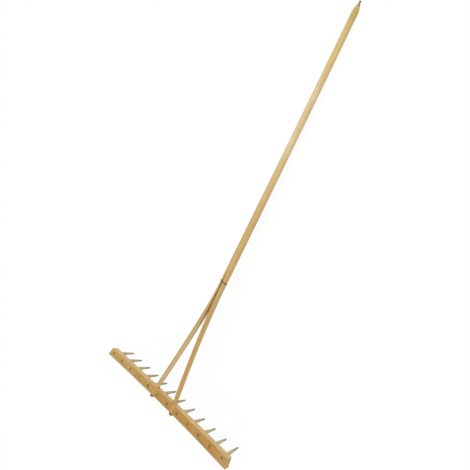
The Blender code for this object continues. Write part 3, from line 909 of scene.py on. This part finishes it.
barLook = {
    "grain": {"Pith": (0.030, -0.022, 0.0), "Ring spacing": 0.0036, "Wander": 0.0042, "Fibre width": 0.0006,
              "Streak length": 0.15, "Seed": 7.0},
    "wear": {"Amount": 0.5, "Spot size": 0.0026, "Seed": 5.0},
    "slowPatches": (30.0, 30.0, 11.0),
    "tenonOff": {-1: 0.0, 1: 0.006},            # how far from each tenon its dry patch lies
    "base": srgb(187, 141, 69),
    "zones": {
        "overLeftTenon": ("fromLeftTenon", 0.010, 0.003, 0.008),
        "overRightTenon": ("fromRightTenon", 0.010, 0.003, 0.008),
        "farEdge": ("fromEdge", 0.0052, 0.0, 0.003),            # the edges away from the pole, where painted shade is laid
    },
    "coats": {
        "dullLeft": (1.0, srgb(204, 170, 110), ("along", -0.02, -0.11)),
        "dullRight": (0.7, srgb(204, 170, 110), ("along", 0.29, 0.34)),
        "orangePatches": (0.45, srgb(202, 145, 76), ("Patches",)),
        "olivePatches": (0.5, srgb(178, 150, 78), ("slow", 0.42, 0.62)),
        "poleFaceSheen": (0.85, srgb(218, 193, 136), ("towardsPole",)),      # painted sheen on the face towards the pole, its grain fainter under it
        # the grain fainter on the face towards the pole, under its painted sheen
        "streaks": (0.32, srgb(154, 110, 56), ("Streaks",), ("towardsPole", 0.0, 1.0, 1.0, 0.45)),
        "rings": (0.36, srgb(154, 110, 56), ("Rings",), ("towardsPole", 0.0, 1.0, 1.0, 0.45)),
        "fibres": (0.24, srgb(140, 102, 56), ("Fibres",), ("towardsPole", 0.0, 1.0, 1.0, 0.45)),
        "rightEnd": (0.6, srgb(198, 164, 116), ("facesRight", 0.6, 0.9)),
        "leftEnd": (0.6, srgb(198, 164, 116), ("facesRight", -0.6, -0.9)),
        "dryOverLeftTenon": (0.2, srgb(208, 162, 112), ("overLeftTenon",)),
        "dryOverRightTenon": (0.4, srgb(208, 162, 112), ("overRightTenon",)),
        # painted shade along the rounded edges away from the pole
        "farEdgeShade": (0.6, srgb(132, 112, 80), ("farEdge",)),
        "soil": (0.25, srgb(96, 76, 50), ("Soil",)),
        "specks": (0.5, srgb(96, 76, 50), ("Specks",)),
    },
    "roughness": 0.56,
    "fibreRoughness": 0.12,
    "nickDepth": 0.6,
    "shine": 0.3,
    "reliefStrength": 0.4,
    "reliefDepth": 0.0003,
}


def makeBarWood():
    look = barLook
    material, tree, shader = startMaterial("barWood")
    alongZ = layDown @ Matrix.Rotation(pi / 2, 4, "Y")      # the grain's Z runs along the bar
    objectPlace = addNode("ShaderNodeTexCoord", None, "Object", tree)
    where = addNode("ShaderNodeMapping", {"Vector": objectPlace, "Location": alongZ.to_translation(),
                                          "Rotation": alongZ.to_euler()}, vector_type="TEXTURE")
    x, y, along = splitXYZ(where)
    normal = addNode("ShaderNodeNewGeometry", None, "Normal", tree)
    toRight, toPole = (tuple(layDown.to_3x3() @ Vector(axis)) for axis in ((1, 0, 0), (0, 1, 0)))
    facesPole = reckon("DOT_PRODUCT", normal, toPole, output="Value")
    share = along / (headBar["length"] / 2)
    flare = passage(along, 0.0, 0.0001, headBar["leftFlare"], headBar["rightFlare"])
    edgeAt = share * share * (flare + headBar["bow"]) + headBar["width"] / 2
    measures = marksAt(look, where) | {
        "along": along, "slow": noise(where * look["slowPatches"]), "fromEdge": y + edgeAt,
        "facesRight": reckon("DOT_PRODUCT", normal, toRight, output="Value"),
        "towardsPole": passage(facesPole, 0.45, 0.9)}
    for side, title in ((-1, "fromLeftTenon"), (1, "fromRightTenon")):
        tenonAt = splitHandle["setOff"] + tenonShift(0.0, side) + side * splitHandle["tenonSetIn"]
        measures[title] = abs(along - (tenonAt + look["tenonOff"][side]))
    finishWood(shader, look, where, measures, look["roughness"])
    return material


def makeHeadBar():
    b, t = headBar, rakeTeeth
    cutters = [newObject("holeCutter", makeHoleCutter()), newObject("mortiseCutter", makeMortiseCutter())]
    leanX, leanY = (radians(angle) for angle in t["lastLean"])
    lastOff = (t["lastOff"][0] + frontFace * -tan(leanX), t["lastOff"][1] - frontFace * tan(leanY), 0.0)
    bar = grow("headBar", buildHeadBar, {
        "Length": b["length"], "Width": b["width"], "Thickness": b["thickness"], "End slant": b["endSlant"],
        "Bow": b["bow"], "Left flare": b["leftFlare"], "Right flare": b["rightFlare"], "Easing": b["easing"],
        "Easing wear": b["easingWear"], "Planing": b["planing"], "Knocks": b["knocks"], "Seed": b["seed"],
        "Hole cutter": cutters[0], "Mortise cutter": cutters[1], "Tooth count": t["count"],
        "Tooth pitch": t["pitch"], "Last tooth off": lastOff, "Last tooth lean": (leanY, -leanX, 0.0),
        "Finish": makeBarWood()})
    drop(*cutters)
    bar.data.transform(layDown)
    finishPiece(bar, "bar_wood", "head_bar", crease=40)


makeHeadBar()


# Teeth: round tenons driven through the bar, whittled to blunt points

def toothRadius(z):
    # the plain radius at z, with the taper's corners softened
    t = rakeTeeth
    shares, left = list(t["taper"]), list(t["taper"].values())
    at = (frontFace - z) / t["reach"]
    near = [np.interp(at + step, shares, left) for step in (-0.05, -0.025, 0.0, 0.025, 0.05)]
    return t["pointRadius"] + (t["bellyRadius"] - t["pointRadius"]) * sum(near) / len(near)


def makeToothMesh():
    t = rakeTeeth
    tenon, easing, rounding = t["tenonRadius"], t["endEasing"], t["pointRounding"]
    back, tip = headBar["thickness"] / 2, frontFace - t["reach"]
    profile = [(tenon * share, back - t["endInset"]) for share in (0.3, 0.65)]
    profile += [(tenon - easing, back - t["endInset"]), (tenon, back - easing)]
    profile += [(tenon, 0.0), (tenon, frontFace)]
    profile += [(t["shoulderRadius"] - easing, frontFace), (t["shoulderRadius"], frontFace - easing)]
    for i in range(t["steps"] + 1):
        z = frontFace - 0.002 - (t["reach"] - 0.002 - rounding) * i / t["steps"]
        profile.append((toothRadius(z), z))
    for i in range(1, 6):
        turn = radians(18 * i)
        profile.append((toothRadius(tip) - rounding * (1 - cos(turn)), tip + rounding * (1 - sin(turn))))
    profile.append((t["pointFlat"], tip))

    draw = np.random.default_rng(t["seed"])
    facings = [2 * pi * (cut + draw.uniform(-0.2, 0.2)) / t["cuts"] for cut in range(t["cuts"])]
    begins = draw.uniform(0.10, 0.30, t["cuts"])      # share of the reach where each cut starts
    turns = turnsOf(t["sides"])
    sections = []
    for radius, z in profile:
        reach = np.full(t["sides"], radius)
        for facing, begin in zip(facings, begins):
            off = np.cos(turns - facing)
            depth = 1.0 - t["cutDepth"] * eased(begin, begin + 0.25, (frontFace - z) / t["reach"])
            flat = radius * depth * t["cutGirth"] / np.maximum(off, 0.05)
            reach = np.minimum(reach, np.where(off > 0.5, flat, radius))
        sections.append(atHeight(reach * np.cos(turns), reach * np.sin(turns), z))
    return tube("tooth", sections)


def buildTeeth(tree, given):
    def drawn(low, high, seed):
        return addNode("FunctionNodeRandomValue", {2: low, 3: high, "Seed": seed}, 1)

    # every tooth is turned its own way and is a little thinner or thicker
    line, nearlyLast = toothSpots(given)
    spin = drawn(0.0, 2 * pi, given["Seed"])
    girth = drawn(given["Thinnest"], 1.0, given["Seed"] + 1.0)
    teeth = addNode("GeometryNodeInstanceOnPoints", {
        "Points": line, "Rotation": joinXYZ(0.0, 0.0, spin), "Scale": joinXYZ(girth, girth, 1.0),
        "Instance": contents(given["Tooth"])})
    for name, value in (("toothNumber", addNode("GeometryNodeInputIndex", tree=tree)),
                        ("heartwood", drawn(0.0, 1.0, given["Heartwood seed"]))):
        teeth = addNode("GeometryNodeStoreNamedAttribute", {"Geometry": teeth, "Name": name, "Value": value},
                        data_type="FLOAT", domain="INSTANCE")
    teeth = addNode("GeometryNodeRealizeInstances", {"Geometry": teeth})

    # the last one leans, so it is sheared: its tenon's end stays level with the bar
    position = addNode("GeometryNodeInputPosition", tree=tree)
    number = addNode("GeometryNodeInputNamedAttribute", {"Name": "toothNumber"}, tree=tree, data_type="FLOAT")
    height = splitXYZ(position)[2]
    halfThickness = given["Thickness"] * 0.5
    below = (height * -1.0 - halfThickness) / given["Reach"]
    rise = joinXYZ(0.0, 0.0, given["Last short"] * reckon("MAXIMUM", below, 0.0))
    leaning = given["Last off"] + given["Last slope"] * (halfThickness - height) + rise
    teeth = moved(teeth, Offset=leaning * reckon("GREATER_THAN", number, nearlyLast))

    # rough knife work on what stands out of the bar
    lump = noise(position * (260.0, 260.0, 70.0))
    out = passage(below, 0.02, 0.08) * (given["Roughening"] * -1.0)
    return moved(teeth, Offset=addNode("GeometryNodeInputNormal", tree=tree) * (lump * out))


toothLook = {
    "grain": {"Pith": (0.014, 0.012, 0.0), "Ring spacing": 0.0024, "Wander": 0.0012, "Fibre width": 0.0005,
              "Streak length": 0.06, "Seed": 3.0},
    "wear": {"Amount": 0.9, "Spot size": 0.002, "Seed": 8.0},
    "apart": (0.37, 0.21),      # how far each tooth lies from the next in the timber
    "base": srgb(218, 202, 142),
    "zones": {"towardsTip": ("height", -0.070, -0.108, 0.03)},
    "coats": {
        "grey": (1.0, srgb(204, 195, 164), ("height", -0.025, -0.060)),
        "wornTip": (1.0, srgb(170, 162, 136), ("towardsTip",)),
        "streaks": (0.35, srgb(158, 142, 102), ("Streaks",)),
        "rings": (0.30, srgb(158, 142, 102), ("Rings",)),
        "fibres": (0.22, srgb(158, 142, 102), ("Fibres",)),
        "soil": (0.4, srgb(126, 114, 86), ("Soil",)),
        "tenonEnd": (1.0, "endGrain", ("height", headBar["thickness"] / 2 - 0.0010,
                                       headBar["thickness"] / 2 - 0.0004)),
    },
    "endGrain": {               # at the bar's back, darker where a tooth has more heartwood
        "base": srgb(178, 134, 70),
        "coats": {"heartwood": (1.0, srgb(136, 96, 42), ("heartwood",)),
                  "rings": (0.3, srgb(136, 96, 42), ("Rings",))},
    },
    "roughness": 0.62,
    "fibreRoughness": 0.12,
    "nickDepth": 0.6,
    "shine": 0.25,
    "reliefStrength": 0.45,
    "reliefDepth": 0.0003,
}


def makeToothWood():
    look = toothLook
    material, tree, shader = startMaterial("toothWood")
    number = attribute(tree, "toothNumber")
    own = joinXYZ(number * look["apart"][0], number * look["apart"][1])
    where = attribute(tree, "woodPlace", "Vector")
    timber = where + own
    measures = marksAt(look | {"grain": look["grain"] | {"Pith": own + look["grain"]["Pith"]}}, timber)
    measures |= {"height": splitXYZ(where)[2], "heartwood": attribute(tree, "heartwood")}
    measures["endGrain"] = paint(look["endGrain"], timber, measures)
    finishWood(shader, look, timber, measures, look["roughness"])
    return material


def makeRakeTeeth():
    b, t = headBar, rakeTeeth
    oneTooth = newObject("toothShape", makeToothMesh())
    slopes = [tan(radians(angle)) for angle in t["lastLean"]]
    teeth = grow("rakeTeeth", buildTeeth, {
        "Tooth": oneTooth, "Tooth count": t["count"], "Tooth pitch": t["pitch"], "Length": b["length"],
        "Thickness": b["thickness"], "Bow": b["bow"], "Thinnest": t["thinnest"], "Roughening": t["roughening"],
        "Reach": t["reach"], "Last off": (*t["lastOff"], 0.0), "Last slope": (*slopes, 0.0),
        "Last short": t["lastShort"], "Seed": t["seed"], "Heartwood seed": t["heartwoodSeed"],
        "Finish": makeToothWood()})
    drop(oneTooth)
    teeth.data.transform(layDown)
    finishPiece(teeth, "tooth_wood", *[f"tooth_{i + 1:02d}" for i in range(t["count"])], crease=52)


makeRakeTeeth()


# Binding wire: one annealed wire round the pole, its ends twisted together on the upper side

def wireRoute():
    w, h = bindingWire, splitHandle
    strand = w["radius"] + w["strandGap"] / 2
    depth, height = prongSize((splitAt - wireAt) / (splitAt - h["shoulderStart"]))
    ringRadius = max(h["kerf"] / 2 + depth, height) + w["clearance"] + w["radius"]
    twistRadius = ringRadius + strand

    def twisted(phase):
        route = []
        for i in range(w["twistSteps"] + 1):
            turn = phase + 2 * pi * w["twistTurns"] * i / w["twistSteps"]
            z = wireAt - w["twistDrop"] - w["twistLength"] * i / w["twistSteps"]
            route.append(Vector((strand * cos(turn), -twistRadius - strand * sin(turn), z)))
        return route

    ring = []
    for i in range(w["ringSteps"] + 1):
        turn = radians(w["opening"] / 2 + (360 - w["opening"]) * i / w["ringSteps"])
        lift = tan(radians(w["tilt"])) * ringRadius * cos(turn + radians(w["tiltTowards"]))
        ring.append(Vector((ringRadius * sin(turn), -ringRadius * cos(turn), wireAt + lift)))
    return twisted(0.0)[::-1] + ring + twisted(pi)


def buildWire(tree, given):
    route = contents(given["Route"])
    route = addNode("GeometryNodeCurveSplineType", {"Curve": route}, spline_type="CATMULL_ROM")
    route = addNode("GeometryNodeResampleCurve", {"Curve": route, "Length": given["Fineness"]}, mode="LENGTH")
    ring = addNode("GeometryNodeCurvePrimitiveCircle",
                   {"Resolution": given["Sides"], "Radius": given["Radius"]})
    wire = addNode("GeometryNodeCurveToMesh", {"Curve": route, "Profile Curve": ring, "Fill Caps": True})
    return addNode("GeometryNodeRealizeInstances", {"Geometry": wire})


wireLook = {
    "wear": {"Amount": 0.6, "Spot size": 0.001, "Seed": 1.0},
    "base": srgb(146, 122, 74),
    "coats": {"oxide": (1.0, srgb(106, 86, 48), ("blotches",)), "rust": (0.6, srgb(140, 100, 56), ("Soil",))},
    "blotchScale": 420.0,
    "metallic": (0.25, 0.1),    # bare steel, and oxide
    "roughness": (0.50, 0.70),
    "reliefScale": 1500.0,
    "reliefStrength": 0.3,
    "reliefDepth": 0.0001,
}


def makeWireSteel():
    look = wireLook
    material, tree, shader = startMaterial("wireSteel")
    where = addNode("ShaderNodeTexCoord", None, "Object", tree)
    blotches = passage(noise(where, scale=look["blotchScale"], detail=3.0), 0.38, 0.62)
    measures = place(handling, {"Place": where, **look["wear"]}) | {"blotches": blotches}
    feedAll(shader.inputs, {
        "Base Color": paint(look, where, measures), "Metallic": passage(blotches, 0.0, 1.0, *look["metallic"]),
        "Roughness": passage(blotches, 0.0, 1.0, *look["roughness"]),
        "Normal": bump(noise(where, scale=look["reliefScale"]), look)})
    return material


def makeBindingWire():
    points = wireRoute()
    curve = bpy.data.curves.new("wireRoute", "CURVE")
    curve.dimensions = "3D"
    spline = curve.splines.new("POLY")
    spline.points.add(len(points) - 1)
    for point, spot in zip(spline.points, points):
        point.co = (*(ontoBar @ spot), 1.0)
    route = newObject("wireRoute", curve)
    wire = grow("bindingWire", buildWire, {
        "Route": route, "Radius": bindingWire["radius"], "Sides": bindingWire["sides"],
        "Fineness": bindingWire["fineness"], "Finish": makeWireSteel()})
    drop(route)
    finishPiece(wire, "binding_wire_steel", "binding_wire", crease=60)


makeBindingWire()


# Floor, light and camera

studio = {
    "floorSize": 60.0,
    "floorDrop": 0.0002,        # how far it lies below the rake's lowest points
    "floorColour": srgb(246, 246, 245),
    "floorRoughness": 0.9,
    "floorGlow": 0.90,          # share of the floor that the camera sees as plain white
    "skyLight": 0.50,           # light from all round
    "keyLight": 1.18,
    "keyFrom": (0.1, 0.25, 1.0),
    "keySoftness": 42.0,        # degrees
    "sideLight": 0.75,
    "sideFrom": (0.15, 1.0, 0.75),
    "sideSoftness": 70.0,
    "frontLight": 0.85,         # keeps the side away from the pole from going dark
    "frontFrom": (-0.25, -1.0, 0.30),
    "frontSoftness": 80.0,
}
white = (1.0, 1.0, 1.0, 1.0)


def seenDirectly(tree):
    # 1 for what the camera, a reflection or a clear piece sees
    rays = addNode("ShaderNodeLightPath", None, "Is Camera Ray", tree)
    return reckon("MAXIMUM", rays, reckon("MAXIMUM", rays.other("Is Glossy Ray"),
                                          rays.other("Is Transmission Ray")))


def makeStudio():
    s = studio
    half = s["floorSize"] / 2
    mesh = bpy.data.meshes.new("studioFloor")
    corners = [(-half, -half, 0), (half, -half, 0), (half, half, 0), (-half, half, 0)]
    mesh.from_pydata(corners, [], [(0, 1, 2, 3)])
    floor = newObject("studioFloor", mesh)
    floor.location.z = -s["floorDrop"]
    material, tree, shader = startMaterial("floorPaper")
    feedAll(shader.inputs, {"Base Color": s["floorColour"], "Roughness": s["floorRoughness"],
                            "Specular IOR Level": 0.0})
    glow = addNode("ShaderNodeEmission", {"Color": white, "Strength": 1.0}, tree=tree)
    share = seenDirectly(tree) * s["floorGlow"]
    mixed = addNode("ShaderNodeMixShader", {0: share, 1: Value(shader.outputs["BSDF"]), 2: glow})
    feed(tree.nodes["Material Output"].inputs["Surface"], mixed)
    mesh.materials.append(material)

    world = bpy.data.worlds.new("studioSky")
    bpy.context.scene.world = world
    world.use_nodes = True
    strength = passage(seenDirectly(world.node_tree), 0.0, 1.0, s["skyLight"], 1.0, kind="LINEAR")
    feedAll(world.node_tree.nodes["Background"].inputs, {"Color": white, "Strength": strength})

    for name in ("key", "side", "front"):
        lamp = bpy.data.lights.new(name + "Lamp", "SUN")
        lamp.energy = s[name + "Light"]
        lamp.angle = radians(s[name + "Softness"])
        obj = newObject(name + "Lamp", lamp)
        obj.rotation_euler = Vector(s[name + "From"]).to_track_quat("Z", "Y").to_euler()


photoView = {
    "spot": (0.73078, 0.02217, 1.3137),
    "aim": (-0.05211, -0.13184, 0.04943),
    "roll": -75.3093,           # degrees
    "lens": 27.9273,            # millimetres
    "sensor": 36.0,
    "nearest": 0.01,            # metres
    "furthest": 200.0,
}


def makeCamera():
    v = photoView
    camera = bpy.data.cameras.new("photoCamera")
    camera.lens, camera.sensor_width = v["lens"], v["sensor"]
    camera.clip_start, camera.clip_end = v["nearest"], v["furthest"]
    back = (Vector(v["spot"]) - Vector(v["aim"])).normalized()
    level = Vector((0, 0, 1)).cross(back).normalized()
    above = back.cross(level)
    roll = radians(v["roll"])
    right = level * cos(roll) + above * sin(roll)
    turn = Matrix((right, back.cross(right), back)).transposed().to_4x4()
    obj = newObject("photoCamera", camera)
    obj.matrix_world = Matrix.Translation(v["spot"]) @ turn
    bpy.context.scene.camera = obj


makeStudio()
makeCamera()
bpy.context.scene.view_settings.view_transform = "Standard"
print("Studio set up")

bpy.context.view_layer.update()
